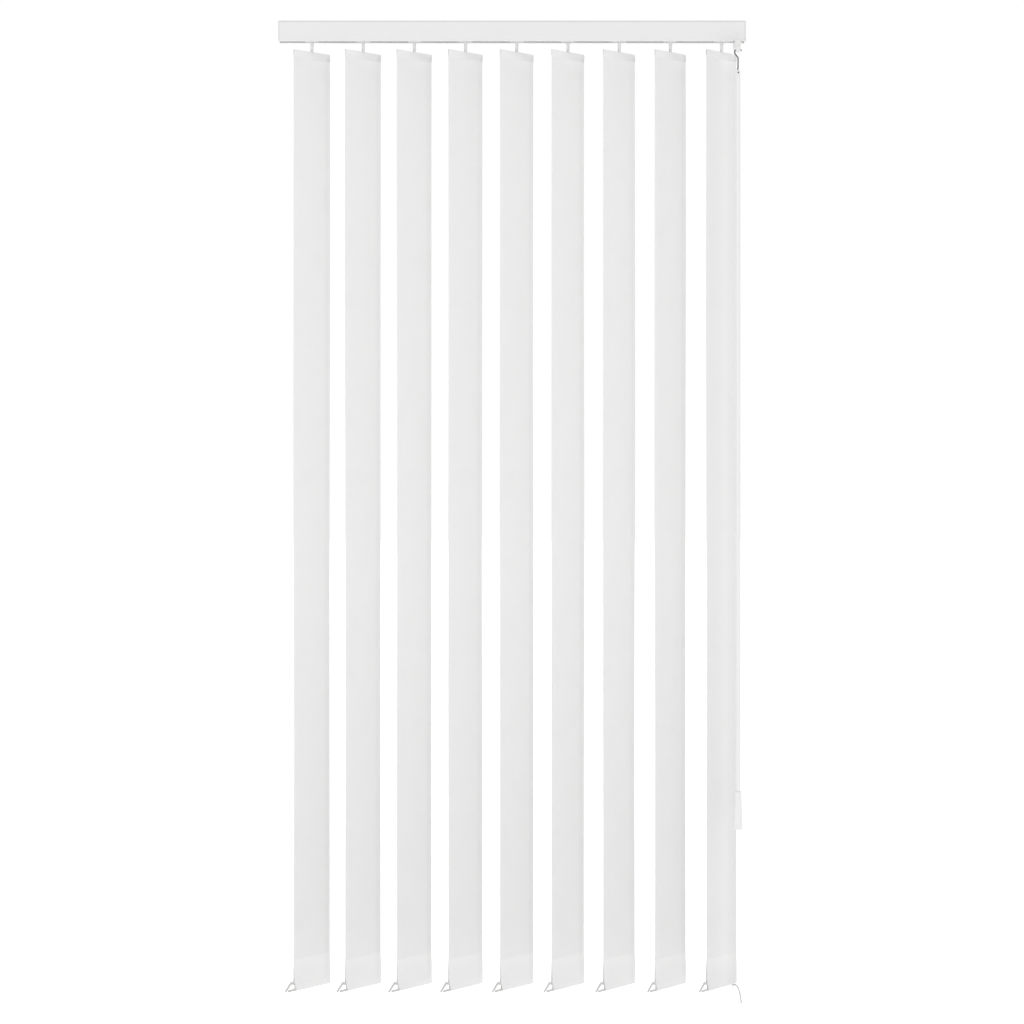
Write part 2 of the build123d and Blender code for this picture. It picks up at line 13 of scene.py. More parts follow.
import bpy
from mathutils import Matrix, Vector


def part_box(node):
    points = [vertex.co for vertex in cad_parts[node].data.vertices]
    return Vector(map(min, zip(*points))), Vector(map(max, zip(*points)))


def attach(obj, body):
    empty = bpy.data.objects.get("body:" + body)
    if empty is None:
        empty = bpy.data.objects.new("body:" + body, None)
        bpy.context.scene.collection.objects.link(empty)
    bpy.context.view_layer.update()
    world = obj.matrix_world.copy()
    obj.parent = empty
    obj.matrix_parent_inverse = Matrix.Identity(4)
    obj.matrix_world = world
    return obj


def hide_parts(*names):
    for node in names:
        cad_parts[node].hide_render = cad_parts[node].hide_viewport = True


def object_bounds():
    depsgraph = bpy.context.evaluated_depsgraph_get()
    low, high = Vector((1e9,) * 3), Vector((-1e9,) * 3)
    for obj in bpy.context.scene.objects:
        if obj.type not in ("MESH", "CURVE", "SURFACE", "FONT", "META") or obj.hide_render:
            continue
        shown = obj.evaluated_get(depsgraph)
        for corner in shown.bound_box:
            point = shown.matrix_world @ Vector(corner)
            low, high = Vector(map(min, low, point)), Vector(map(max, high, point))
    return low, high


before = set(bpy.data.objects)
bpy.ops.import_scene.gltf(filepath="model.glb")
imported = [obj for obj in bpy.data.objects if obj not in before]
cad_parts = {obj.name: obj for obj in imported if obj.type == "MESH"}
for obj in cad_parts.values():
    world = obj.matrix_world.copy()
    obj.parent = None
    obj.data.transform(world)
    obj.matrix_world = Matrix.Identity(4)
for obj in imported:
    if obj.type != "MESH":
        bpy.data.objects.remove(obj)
cad_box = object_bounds()

logging.basicConfig(level=logging.INFO, format="%(message)s")
log = logging.getLogger("blind")


# ---------------------------------------------------------------- nodes and shader maths


def place(tree: bpy.types.NodeTree, kind: str, settings: dict, values: dict) -> bpy.types.Node:
    """Adds a node to any tree.

    Args:
        tree: the tree.
        kind: the node's type.
        settings: its own settings, set before its sockets.
        values: by socket name or index, a constant, an output socket or a Val.

    Returns:
        The node.
    """
    node = tree.nodes.new(kind)
    for key, value in settings.items():
        setattr(node, key, value)
    for key, value in values.items():
        value = value.socket if isinstance(value, Val) else value
        if isinstance(value, bpy.types.NodeSocket):
            tree.links.new(value, node.inputs[key])
        else:
            node.inputs[key].default_value = value
    return node


class Val:
    """A shader socket that takes part in arithmetic, adding Math nodes to its tree."""

    def __init__(self, nodes: "Finish", socket: bpy.types.NodeSocket) -> None:
        """Wraps a socket.

        Args:
            nodes: the finish whose tree the socket is in.
            socket: an output socket that carries a number.
        """
        self.nodes = nodes
        self.socket = socket

    def _math(self, operation: str, *values: "Val | float") -> "Val":
        """Adds one Math node and returns its output."""
        made = self.nodes.add("ShaderNodeMath", {"operation": operation}, dict(enumerate(values)))
        return Val(self.nodes, made.outputs[0])

    def __add__(self, other: "Val | float") -> "Val":
        """self + other."""
        return self._math("ADD", self, other)

    def __sub__(self, other: "Val | float") -> "Val":
        """self - other."""
        return self._math("SUBTRACT", self, other)

    def __rsub__(self, other: float) -> "Val":
        """other - self."""
        return self._math("SUBTRACT", other, self)

    def __mul__(self, other: "Val | float") -> "Val":
        """self * other."""
        return self._math("MULTIPLY", self, other)

    __radd__ = __add__
    __rmul__ = __mul__

    def sine(self) -> "Val":
        """The sine of self, in radians."""
        return self._math("SINE", self)

    def size(self) -> "Val":
        """self without its sign."""
        return self._math("ABSOLUTE", self)

    def over(self, other: "Val | float") -> "Val":
        """The larger of self and other."""
        return self._math("MAXIMUM", self, other)

    def ramp(self, low: float, high: float) -> "Val":
        """self mapped smoothly from low..high to 0..1 and held there."""
        made = self.nodes.add(
            "ShaderNodeMapRange",
            {"interpolation_type": "SMOOTHSTEP"},
            {"Value": self, "From Min": low, "From Max": high},
        )
        return Val(self.nodes, made.outputs[0])


@dataclass(frozen=True)
class Finish:
    """A painted, moulded, metal or woven finish, made as one node material.

    Args:
        name: the material's name.
        colour: linear base colour.
        roughness: of the bare surface.
        metallic: 1 for bare metal.
        coat: weight of a clear gloss layer.
        sheen: weight of the soft edge glow of fibres.
        mottle: features per metre of its slow changes of colour.
        grain: features per metre of its fine relief.
        relief: height of the fine relief, in metres.
    """

    name: str
    colour: tuple[float, float, float]
    roughness: float = 0.5
    metallic: float = 0.0
    coat: float = 0.0
    sheen: float = 0.0
    mottle: float = 60.0
    grain: float = 900.0
    relief: float = 0.00004

    def add(self, kind: str, settings: dict, values: dict) -> bpy.types.Node:
        """Adds a node to the material's tree: see place."""
        return place(bpy.data.materials[self.name].node_tree, kind, settings, values)

    def start(self) -> tuple[bpy.types.Material, bpy.types.Node, bpy.types.NodeSocket]:
        """Makes the material, its shader and an Object coordinate.

        Returns:
            The material, its Principled shader and the coordinate socket.
        """
        material = bpy.data.materials.new(self.name)
        material.use_nodes = True
        material.node_tree.nodes.clear()
        shader = self.add(
            "ShaderNodeBsdfPrincipled",
            {},
            {
                "Base Color": (*self.colour, 1.0),
                "Roughness": self.roughness,
                "Metallic": self.metallic,
                "Coat Weight": self.coat,
                "Coat Roughness": 0.12,
                "Sheen Weight": self.sheen,
                "Sheen Roughness": 0.5,
            },
        )
        self.add("ShaderNodeOutputMaterial", {}, {"Surface": shader.outputs[0]})
        coords = self.add("ShaderNodeTexCoord", {}, {}).outputs["Object"]
        return material, shader, coords

    def noise(
        self,
        coords: bpy.types.NodeSocket,
        scale: float,
        stretch: tuple[float, float, float] = (1.0, 1.0, 1.0),
        detail: float = 2.0,
    ) -> Val:
        """Noise around 0.5.

        Args:
            coords: the coordinate that it reads.
            scale: features per metre.
            stretch: factors on the three axes, small along a grain.
            detail: octaves.

        Returns:
            The noise's value.
        """
        placed = self.add("ShaderNodeMapping", {}, {"Vector": coords, "Scale": stretch})
        sizes = {"Vector": placed.outputs[0], "Scale": scale, "Detail": detail}
        return Val(self, self.add("ShaderNodeTexNoise", {}, sizes).outputs[0])

    def darker(self, factor: float) -> tuple[float, float, float]:
        """The base colour times a factor, up to white."""
        return tuple(min(1.0, part * factor) for part in self.colour)

    def tint(self, shader: bpy.types.Node, mask: Val, other: tuple[float, float, float]) -> None:
        """Mixes the base colour towards another where mask is 1.

        Args:
            shader: the Principled shader.
            mask: from 0 to 1.
            other: linear colour.
        """
        mix = self.add(
            "ShaderNodeMix",
            {"data_type": "RGBA"},
            {"Factor": mask, 6: (*self.colour, 1.0), 7: (*other, 1.0)},
        )
        shader.id_data.links.new(mix.outputs[2], shader.inputs["Base Color"])

    def bump(self, shader: bpy.types.Node, height: Val, strength: float) -> None:
        """Raises the surface by a height of up to the finish's relief.

        Args:
            shader: the Principled shader.
            height: from 0 to 1.
            strength: of the effect.
        """
        sizes = {"Height": height, "Distance": self.relief, "Strength": strength}
        made = self.add("ShaderNodeBump", {}, sizes)
        shader.id_data.links.new(made.outputs[0], shader.inputs["Normal"])

    def rough(self, shader: bpy.types.Node, value: Val) -> None:
        """Lets the roughness follow a value."""
        shader.id_data.links.new(value.socket, shader.inputs["Roughness"])

    def build(self) -> bpy.types.Material:
        """Makes a plain moulded surface with a faint grain.

        Returns:
            The material.
        """
        material, shader, coords = self.start()
        cloud = self.noise(coords, self.mottle)
        self.tint(shader, cloud.ramp(0.45, 0.8) * 0.35, self.darker(0.93))
        self.rough(shader, self.roughness + (cloud - 0.5) * 0.12)
        self.bump(shader, self.noise(coords, self.grain, detail=3.0), strength=0.5)
        return material


@dataclass(frozen=True)
class PowderCoat(Finish):
    """A matt powder coat with a fine orange peel.

    Args:
        die_lines: features per metre of the lines that the extrusion's die left.
        top_shade_band: metres below the rail's top between which the painted shade along its edge
            grows.
        end_shade_band: metres from the rail's ends between which the painted shade at them grows.
    """

    mottle: float = 9.0
    grain: float = 700.0
    relief: float = 0.00005
    die_lines: float = 260.0
    top_shade_band: tuple[float, float] = (0.006, 0.002)
    end_shade_band: tuple[float, float] = (0.0025, 0.0005)

    def build(self) -> bpy.types.Material:
        """Makes the coat: long faint die lines under a fine peel, and painted shade along its top
        edge and at its ends.

        Returns:
            The material.
        """
        material, shader, coords = self.start()
        peel = self.noise(coords, self.grain, detail=3.0)
        lines = self.noise(coords, self.die_lines, (0.004, 1.0, 1.0))
        soil = self.noise(coords, self.mottle).ramp(0.5, 0.85)
        spot = self.add("ShaderNodeSeparateXYZ", {}, {0: coords})
        length, height = Val(self, spot.outputs[0]).size(), Val(self, spot.outputs[2])
        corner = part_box("head_rail")[1]
        # painted shade along the rail's top edge and at its two ends by the end caps, over a faint
        # random soil mottle
        top = height.ramp(*(corner.z - depth for depth in self.top_shade_band))
        ends = length.ramp(*(corner.x - depth for depth in self.end_shade_band))
        self.tint(shader, soil * 0.1 + top.over(ends * 0.8) * 0.9, self.darker(0.82))
        self.rough(shader, self.roughness + (peel - 0.5) * 0.2)
        self.bump(shader, peel * 0.7 + lines * 0.3, strength=0.6)
        return material


@dataclass(frozen=True)
class Drawn(Finish):
    """A drawn or extruded finish, with fine lines along one axis."""

    mottle: float = 30.0
    grain: float = 1400.0
    relief: float = 0.00003

    def build(self) -> bpy.types.Material:
        """Makes lines along Z that vary colour, roughness and height.

        Returns:
            The material.
        """
        material, shader, coords = self.start()
        lines = self.noise(coords, self.grain, (1.0, 1.0, 0.006), detail=3.0)
        rubbed = self.noise(coords, self.mottle).ramp(0.45, 0.75)
        self.tint(shader, lines.ramp(0.35, 0.7) * 0.6, self.darker(0.9))
        self.rough(shader, self.roughness + (lines - 0.5) * 0.18 + rubbed * 0.05)
        self.bump(shader, lines, strength=0.6)
        return material


@dataclass(frozen=True)
class Wire(Finish):
    """Bent steel wire or sheet, dull with brighter rubbed places."""

    mottle: float = 420.0
    grain: float = 1800.0

    def build(self) -> bpy.types.Material:
        """Makes mottled metal.

        Returns:
            The material.
        """
        material, shader, coords = self.start()
        mottled = self.noise(coords, self.mottle, detail=4.0)
        streak = self.noise(coords, self.grain, (0.05, 1.0, 1.0))
        self.tint(shader, mottled.ramp(0.4, 0.7), self.darker(1.35))
        self.rough(shader, self.roughness + (mottled - 0.5) * 0.3)
        self.bump(shader, mottled * 0.5 + streak * 0.5, strength=0.7)
        return material


@dataclass(frozen=True)
class Weave(Finish):
    """A fine stiffened plain weave, read from the cloth's own UV map in metres.

    Args:
        thread: width of one thread, in metres.
        slubs: thick places per metre of thread.
        painted_shade_share: share of the darker colour per unit of the cloth's painted shade.
    """

    mottle: float = 14.0
    relief: float = 0.00012
    thread: float = 0.00075
    slubs: float = 1300.0
    painted_shade_share: float = 0.25

    def build(self) -> bpy.types.Material:
        """Makes warp and weft that pass over each other, with slubs and a faint mottle, under the
        cloth's painted shade.

        Returns:
            The material.
        """
        material, shader, _ = self.start()
        cloth = self.add("ShaderNodeUVMap", {"uv_map": "cloth"}, {}).outputs[0]
        parts = self.add("ShaderNodeSeparateXYZ", {}, {0: cloth})
        turn = math.pi / self.thread
        across = Val(self, parts.outputs[0]) * turn
        along = Val(self, parts.outputs[1]) * turn
        over = (across.sine() * along.sine()).ramp(-0.6, 0.6)
        warp = across.sine().size() * over
        weft = along.sine().size() * (1.0 - over)
        threads = warp.over(weft)
        slub_x = self.noise(cloth, self.slubs, (1.0, 0.03, 1.0), detail=1.0).ramp(0.5, 0.85)
        slub_y = self.noise(cloth, self.slubs, (0.03, 1.0, 1.0), detail=1.0).ramp(0.5, 0.85)
        thick = slub_x.over(slub_y)
        mottle = self.noise(cloth, self.mottle, detail=3.0)
        # the painted shade and highlights of the cloth, kept on each vane as a point attribute, in
        # part for its doubled cloth
        ply_and_painted_shade = self.add("ShaderNodeAttribute", {"attribute_name": "ply_and_painted_shade"}, {}).outputs["Fac"]
        grain = (1.0 - threads) * 0.10 + thick * 0.07 + mottle.ramp(0.45, 0.8) * 0.05
        self.tint(shader, Val(self, ply_and_painted_shade) * self.painted_shade_share + grain, self.darker(0.72))
        self.rough(shader, self.roughness + (mottle - 0.5) * 0.1)
        self.bump(shader, threads * 0.8 + thick * 0.35, strength=0.8)
        return material


class Look(Enum):
    """Every finish of the blind."""

    RAIL = PowderCoat("rail_coat", (0.71, 0.71, 0.71), 0.42, coat=0.05)
    MOULDED = Finish("white_moulding", (0.70, 0.70, 0.695), 0.34, coat=0.1)
    ACETAL = Finish("natural_acetal", (0.80, 0.80, 0.78), 0.42)
    CLOTH = Weave("vane_cloth", (0.865, 0.865, 0.863), 0.86, sheen=0.08)
    THREAD = Finish("sewing_thread", (0.78, 0.78, 0.77), 0.8, sheen=0.2)
    CLEAR = Finish("milky_plastic", (0.50, 0.50, 0.495), 0.3, coat=0.1)
    ZINC = Wire("zinc_plate", (0.55, 0.55, 0.55), 0.4, metallic=1.0)
    BAR = Drawn("drawn_bar", (0.68, 0.68, 0.69), 0.32, metallic=1.0)
    HOOK = Wire("hook_wire", (0.10, 0.10, 0.10), 0.4, metallic=1.0)
    BELT = Finish("black_rubber", (0.035, 0.035, 0.035), 0.75)
    WAND = Drawn("drawn_plastic", (0.75, 0.75, 0.75), 0.34, coat=0.1)
    BEAD = Finish("moulded_beads", (0.45, 0.45, 0.446), 0.28, coat=0.1)

    def material(self) -> bpy.types.Material:
        """The finish's material, made the first time that it is asked for."""
        return bpy.data.materials.get(self.value.name) or self.value.build()


# ---------------------------------------------------------------- rigid pieces


@dataclass(frozen=True)
class RigidGroup:
    """Rigid CAD pieces that keep their form and get a finish each.

    Args:
        name: of the sub-assembly, for the log.
        looks: by node name, or by its name before a number, the finish.
    """

    name: str
    looks: dict[str, Look]

    def nodes(self, label: str) -> list[str]:
        """The nodes with a name, alone or with a number after it."""
        return sorted(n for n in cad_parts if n.rstrip("0123456789") in (label, f"{label}_"))

    def dress(self) -> None:
        """Puts each finish in its nodes' material slots."""
        for label, look in self.looks.items():
            for node in self.nodes(label):
                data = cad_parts[node].data
                data.materials.clear()
                data.materials.append(look.material())
            log.info("%s: %s dressed in %s", self.name, label, look.value.name)


RAIL = RigidGroup(
    "rail",
    {"head_rail": Look.RAIL, "end_caps": Look.MOULDED, "ceiling_clips": Look.ZINC},
)
DRIVE = RigidGroup(
    "drive",
    {
        "tilt_rod": Look.BAR,
        "rod_gear": Look.ACETAL,
        "riser": Look.ACETAL,
        "worm": Look.ACETAL,
        "drive_belt": Look.BELT,
    },
)
CARRIERS = RigidGroup(
    "carriers",
    {
        "carrier": Look.MOULDED,
        "lead_housing": Look.MOULDED,
        "wand_arm": Look.MOULDED,
        "arm_cover": Look.MOULDED,
        "stem": Look.MOULDED,
        "fittings": Look.CLEAR,
    },
)
HANDLE = RigidGroup(
    "wand",
    {
        "tilt_stub": Look.MOULDED,
        "wand_hook": Look.HOOK,
        "wand": Look.WAND,
        "wand_grip": Look.WAND,
    },
)


# ---------------------------------------------------------------- cloth vanes


def smooth(low: float, high: float, value: float) -> float:
    """A smooth step from 0 at low to 1 at high."""
    share = min(max((value - low) / (high - low), 0.0), 1.0)
    return share * share * (3.0 - 2.0 * share)


def bell(value: float, middle: float, width: float) -> float:
    """A bell curve, 1 at the middle."""
    return math.exp(-(((value - middle) / width) ** 2))


@dataclass(frozen=True)
class PaintedClothShade:
    """How dark a vane's cloth is painted from place to place: in part its doubled cloth, mostly
    painted shade and highlights.

    Args:
        plain: the hanging cloth.
        lower: painted shade added down the lower half of the hanging cloth.
        under_rail: painted shade added at the top of the hanging cloth, under the rail.
        under_seam_highlight: painted highlight taken just under the upper pocket.
        top: the upper pocket's doubled cloth and painted shade.
        top_seam: painted crease shadow added towards the upper pocket's seam.
        top_end: painted shadow added in the upper pocket's open far end.
        top_far: painted light taken along the far half of the upper fold.
        foot: the lower pocket's doubled cloth and painted shade.
        foot_highlight: painted highlight taken across the top of the lower pocket, above the
            weight.
        near_edge: painted shade added along the near edge.
        far_half: painted light taken over the far half.
        far_band: painted shade added in a band beside the far edge.
        far_edge: painted light taken at the far edge itself.
        side_shade_near: share of a vane's own painted side shade at its near edge.
        side_shade_far: share added to that at its far edge.
    """

    plain: float = 0.9
    lower: float = 0.6
    under_rail: float = 0.12
    under_seam_highlight: float = 0.8
    top: float = 0.95
    top_seam: float = 0.3
    top_end: float = 1.8
    top_far: float = 0.8
    foot: float = 1.6
    foot_highlight: float = 0.67
    near_edge: float = 0.3
    far_half: float = 0.55
    far_band: float = 0.4
    far_edge: float = 0.5
    side_shade_near: float = 0.6
    side_shade_far: float = 0.75


@dataclass
class Vane:
    """One cloth vane: a strip with a pocket sewn at each end, and its stitches.

    Args:
        number: from 1 on the left.
        painted_side_shade: painted shade on this vane's cloth, most at its far side, in place of
            the shade that a neighbour casts on the other vanes.
        turn: radians from +X to the far edge.
        width: of the vane.
        cloth: thickness of the cloth.
        top_pocket: half-thickness and height of the upper pocket.
        foot_pocket: half-thickness and height of the lower pocket.
        weight: height of the weight that fills the lower pocket's foot.
        notch: width and depth of the opening for the stem's clip, in the fold and the rear cloth.
        clip: half-width and depth of the clip in the upper pocket.
        corner: width and height of the cut near lower corner.
        hem: how far the sewn edges stand past their seams.
        ease: height over which the upper pocket opens under its fold.
        bow: how far the middle of the width stands out of the edges.
        wave: of the hanging cloth down its length.
        twist: of the hanging cloth's edges against each other.
        roll: how far the far edge rolls back.
        swelling: how far the upper pocket stands out over the clip.
        clip_rows: depths below the top of the upper pocket's extra rows of faces.
        rows: faces down the hanging cloth.
        columns: faces across the width.
        shade: the painted shade and highlights of the cloth, in part for its doubled cloth.
        top: z of the upper edge, from the CAD strip like the next two.
        foot: z of the lower edge.
        centre: the middle of the width, at z = 0.
        face: direction out of the front face.
        side: direction from the near edge to the far one.
    """

    number: int
    painted_side_shade: float = 0.0
    turn: float = math.radians(48.0)
    width: float = 0.127
    cloth: float = 0.0005
    top_pocket: tuple[float, float] = (0.0012, 0.017)
    foot_pocket: tuple[float, float] = (0.0013, 0.079)
    weight: float = 0.041
    notch: tuple[float, float] = (0.015, 0.009)
    clip: tuple[float, float] = (0.004, 0.0115)
    corner: tuple[float, float] = (0.012, 0.021)
    hem: float = 0.003
    ease: float = 0.005
    bow: float = 0.0009
    wave: float = 0.0007
    twist: float = 0.0009
    roll: float = 0.0007
    swelling: float = 0.0006
    clip_rows: tuple[float, ...] = (0.003, 0.0058, 0.0095)
    rows: int = 72
    columns: int = 34
    shade: PaintedClothShade = PaintedClothShade()
    top: float = field(init=False)
    foot: float = field(init=False)
    centre: Vector = field(init=False)
    face: Vector = field(init=False)
    side: Vector = field(init=False)

    def __post_init__(self) -> None:
        """Takes the vane's place from its CAD strip."""
        self.face = Vector((math.sin(self.turn), -math.cos(self.turn), 0.0))
        self.side = Vector((math.cos(self.turn), math.sin(self.turn), 0.0))
        low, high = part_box(f"vane_{self.number}")
        self.top, self.foot = high.z, low.z
        self.centre = Vector(((low.x + high.x) / 2, (low.y + high.y) / 2, 0.0))

    @staticmethod
    def parting(
        start: float, end: float, seam: float, run: float, shares: tuple[float, ...]
    ) -> list[tuple[float, float]]:
        """The line of one ply as it parts from the other at a seam.

        Args:
            start: how far the ply is out at the seam.
            end: how far out it is when the pocket is open.
            seam: height of the seam.
            run: height from the seam to where the pocket is open, negative downwards.
            shares: of that run at which there is a point.

        Returns:
            Points (out of the face, height).
        """
        reach = end - start
        return [(start + reach * math.sin(t * math.pi / 2), seam + t * run) for t in shares]

    def strip_path(self) -> list[tuple[float, float]]:
        """The cloth's line from one sewn edge to the other.

        Returns:
            Points (out of the face, height), from the upper pocket's hem behind, over the top,
            down the face, round the foot and up to the lower pocket's hem.
        """
        behind, sewn_edge = 1.1 * self.cloth, 1.24 * self.cloth
        fold = [math.pi * k / 8 for k in range(9)]

        half, high = self.top_pocket
        seam = self.top - high
        shares = (0.35, 0.7, 1.0)
        points = [(-sewn_edge, seam - self.hem), (-behind, seam)]
        points += self.parting(0.0, -half, seam, self.ease, shares)
        points += [(-half, self.top - self.clip_rows[1])]
        points += [(-half * math.cos(a), self.top - half + half * math.sin(a)) for a in fold]
        points += [(half, self.top - drop) for drop in self.clip_rows]
        points += reversed(self.parting(0.0, half, seam, self.ease, shares))
        points += [(0.0, seam)]

        half, high = self.foot_pocket
        hem_seam = self.foot + high
        margin, rows = 0.004, self.rows
        start, end = seam - margin, hem_seam + margin
        points += [(0.0, start + (end - start) * k / rows) for k in range(rows + 1)]
        points += [(0.0, hem_seam)]
        slack, shares = self.weight - high, (0.12, 0.3, 0.55, 0.8, 1.0)
        low_row = 0.006
        sides = [self.foot + self.weight / 2, self.foot + low_row]
        points += self.parting(0.0, half, hem_seam, slack, shares)
        points += [(half, height) for height in sides]
        points += [(half * math.cos(a), self.foot + half - half * math.sin(a)) for a in fold]
        points += [(-half, height) for height in reversed(sides)]
        points += reversed(self.parting(-behind, -half, hem_seam, slack, shares))
        points += [(-behind, hem_seam), (-sewn_edge, hem_seam + self.hem)]
        return points

    def lean(self, across: float, height: float) -> float:
        """How far the hanging cloth stands out of its plane.

        Args:
            across: from -1 at the near edge to 1 at the far one.
            height: z, in metres.

        Returns:
            Metres along the face's normal.
        """
        share = (self.top - height) / (self.top - self.foot)
        hang = math.sin(math.pi * min(max(share, 0.0), 1.0))
        curl = self.bow * (1.0 - across**2) * (0.25 + 0.75 * hang)
        wave_phase, twist_phase = self.number * 1.7, self.number * 0.9
        wave = self.wave * math.sin(2.3 * math.pi * share + wave_phase) * hang
        turned = math.sin(1.4 * math.pi * share + twist_phase)
        twist = self.twist * across * turned * hang
        rolled = max(0.0, (across - 0.72) / 0.28)
        roll = self.roll * rolled**2 * (0.3 + 0.7 * hang)
        return curl + wave + twist - roll - self.bow * 0.3

    def ply_and_painted_shade(self, across: float, height: float) -> float:
        """How dark the cloth is painted: in part its doubled cloth, mostly painted shade and
        highlights and a painted shadow in a pocket's open end.

        Args:
            across: from -1 at the near edge to 1 at the far one.
            height: z, in metres.

        Returns:
            Around 1 for single cloth, and more where it is darker.
        """
        shade = self.shade
        seam, hem = self.top - self.top_pocket[1], self.foot + self.foot_pocket[1]
        # painted shade that a vane carries on its own, more towards its far side
        painted_side_shade = self.painted_side_shade * (shade.side_shade_near + shade.side_shade_far * smooth(0.2, 0.6, across))
        # upper pocket: doubled cloth with painted shade, a painted crease shadow at its seam, a
        # painted shadow in its open far end and painted light along its far half
        if height >= seam:
            low = 1.0 - (height - seam) / self.top_pocket[1]
            end = shade.top_end * smooth(0.72, 0.95, across) * (0.1 + 0.9 * low)
            far = shade.top_far * smooth(-0.3, 0.6, across) * (1.0 - low)
            return painted_side_shade + shade.top + shade.top_seam * low**3 + end - far
        # painted shade at the near edge and in a band beside the far edge, painted light over the
        # far half and at the far edge itself
        near = shade.near_edge * (1.0 - smooth(-0.9, 0.0, across))
        far = shade.far_edge * smooth(0.86, 0.98, across)
        far += shade.far_half * smooth(-0.3, 0.8, across)
        edge = near + shade.far_band * smooth(0.62, 0.82, across) - far
        # lower pocket: doubled cloth with painted shade, and a painted highlight across its top
        if height <= hem:
            up = max(0.0, (height - self.foot) / self.foot_pocket[1])
            return painted_side_shade + shade.foot - shade.foot_highlight * bell(up, 0.93, 0.32) + edge
        # hanging cloth: painted shade near the rail and darker towards the foot, and a painted
        # highlight just under the upper pocket
        share = (seam - height) / (seam - hem)
        lit = shade.under_seam_highlight * bell(seam - height, 0.0, 0.02) * smooth(-0.6, 0.3, across)
        down = shade.lower * smooth(0.5, 1.0, share)
        return painted_side_shade + shade.plain + shade.under_rail * bell(share, 0.0, 0.1) + down - lit + edge

    def swell(self, across: float, height: float) -> float:
        """How far the front of the upper pocket stands out over the stem's clip.

        Args:
            across: from -1 at the near edge to 1 at the far one.
            height: z, in metres.

        Returns:
            Metres along the face's normal.
        """
        wide, deep = self.clip
        blend = 0.002
        beside = smooth(wide, self.notch[0] / 2, abs(across) * self.width / 2)
        above = smooth(-blend, blend, height - self.top + deep)
        return self.swelling * (1.0 - beside) * above

    def cut(self, across: float, height: float, out: float) -> bool:
        """Whether the cloth is cut away at a place.

        Args:
            across: from -1 at the near edge to 1 at the far one.
            height: z, in metres.
            out: how far the ply is out of the face.

        Returns:
            True in the notch for the clip and past the cut corner.
        """
        wide, deep = self.notch
        front = 0.9 * self.top_pocket[0]
        behind = height > self.top - deep and out < front
        at_clip = abs(across) * self.width / 2 < wide / 2 and behind
        near = (across + 1.0) * self.width / 2
        slope = self.corner[1] * (1.0 - near / self.corner[0])
        return at_clip or height < self.foot + slope

    def spot(self, across: float, height: float, out: float) -> Vector:
        """A point of the cloth.

        Args:
            across: from -1 at the near edge to 1 at the far one.
            height: z, in metres.
            out: of the vane's plane, before its lean.

        Returns:
            The point in the row frame.
        """
        middle = Vector((self.centre.x, self.centre.y, height))
        offset = out + self.lean(across, height)
        return middle + self.side * (across * self.width / 2) + self.face * offset

    def mesh(self) -> bpy.types.Object:
        """Builds the strip.

        Returns:
            The cloth, closed by a Solidify modifier.
        """
        path = self.strip_path()
        marks = sorted(
            {-1 + 2 * k / self.columns for k in range(self.columns + 1)}
            | {s * self.notch[0] / self.width for s in (-1, 1)}
            | {-1 + 2 * self.corner[0] / self.width * k / 4 for k in range(1, 5)}
        )
        along = [0.0]
        for one, other in zip(path, path[1:]):
            along.append(along[-1] + math.dist(one, other))
        points, flat, shades = [], [], []
        for (out, height), run in zip(path, along):
            for across in marks:
                swell = self.swell(across, height) if out >= self.top_pocket[0] else 0.0
                points.append(self.spot(across, height, out + swell))
                flat.append((across * self.width / 2, run))
                shades.append(self.ply_and_painted_shade(across, height))
        wide = len(marks)
        faces = []
        for row in range(len(path) - 1):
            out, middle = (sum(pair) / 2 for pair in zip(path[row], path[row + 1]))
            for column in range(wide - 1):
                between = (marks[column] + marks[column + 1]) / 2
                if not self.cut(between, middle, out):
                    first = row * wide + column
                    faces.append((first, first + wide, first + wide + 1, first + 1))
        data = bpy.data.meshes.new(f"vane_cloth_{self.number}")
        data.from_pydata(points, [], faces)
        layer = data.uv_layers.new(name="cloth")
        for loop in data.loops:
            layer.data[loop.index].uv = flat[loop.vertex_index]
        # the cloth's painted shade, kept as a point attribute for its material
        data.attributes.new("ply_and_painted_shade", "FLOAT", "POINT").data.foreach_set("value", shades)
        for polygon in data.polygons:
            polygon.use_smooth = True
        made = bpy.data.objects.new(f"vane_cloth_{self.number}", data)
        bpy.context.scene.collection.objects.link(made)
        thick = made.modifiers.new("cloth", "SOLIDIFY")
        thick.thickness = self.cloth
        thick.offset = 0.0
        data.materials.append(Look.CLOTH.material())
        return made

    def seam(self, name: str, height: float) -> bpy.types.Object:
        """A row of stitches across the vane.

        Args:
            name: of the finished piece.
            height: z of the seam.

        Returns:
            The stitches as one mesh.
        """
        stops, reach = 24, 0.96
        marks = [reach * (2 * k / stops - 1) for k in range(stops + 1)]
        line = [self.spot(across, height, self.cloth / 2) for across in marks]
        return Stitches(line).mesh(name)

    def build(self) -> None:
        made = self.mesh()
        body = f"vane_body_{self.number}"
        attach(made, body)
        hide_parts(f"vane_{self.number}")
        seams = [
            self.seam(f"top_seam_{self.number}", self.top - self.top_pocket[1]),
            self.seam(f"foot_seam_{self.number}", self.foot + self.foot_pocket[1]),
        ]
        for seam in seams:
            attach(seam, body)


# ---------------------------------------------------------------- repeats by Geometry Nodes


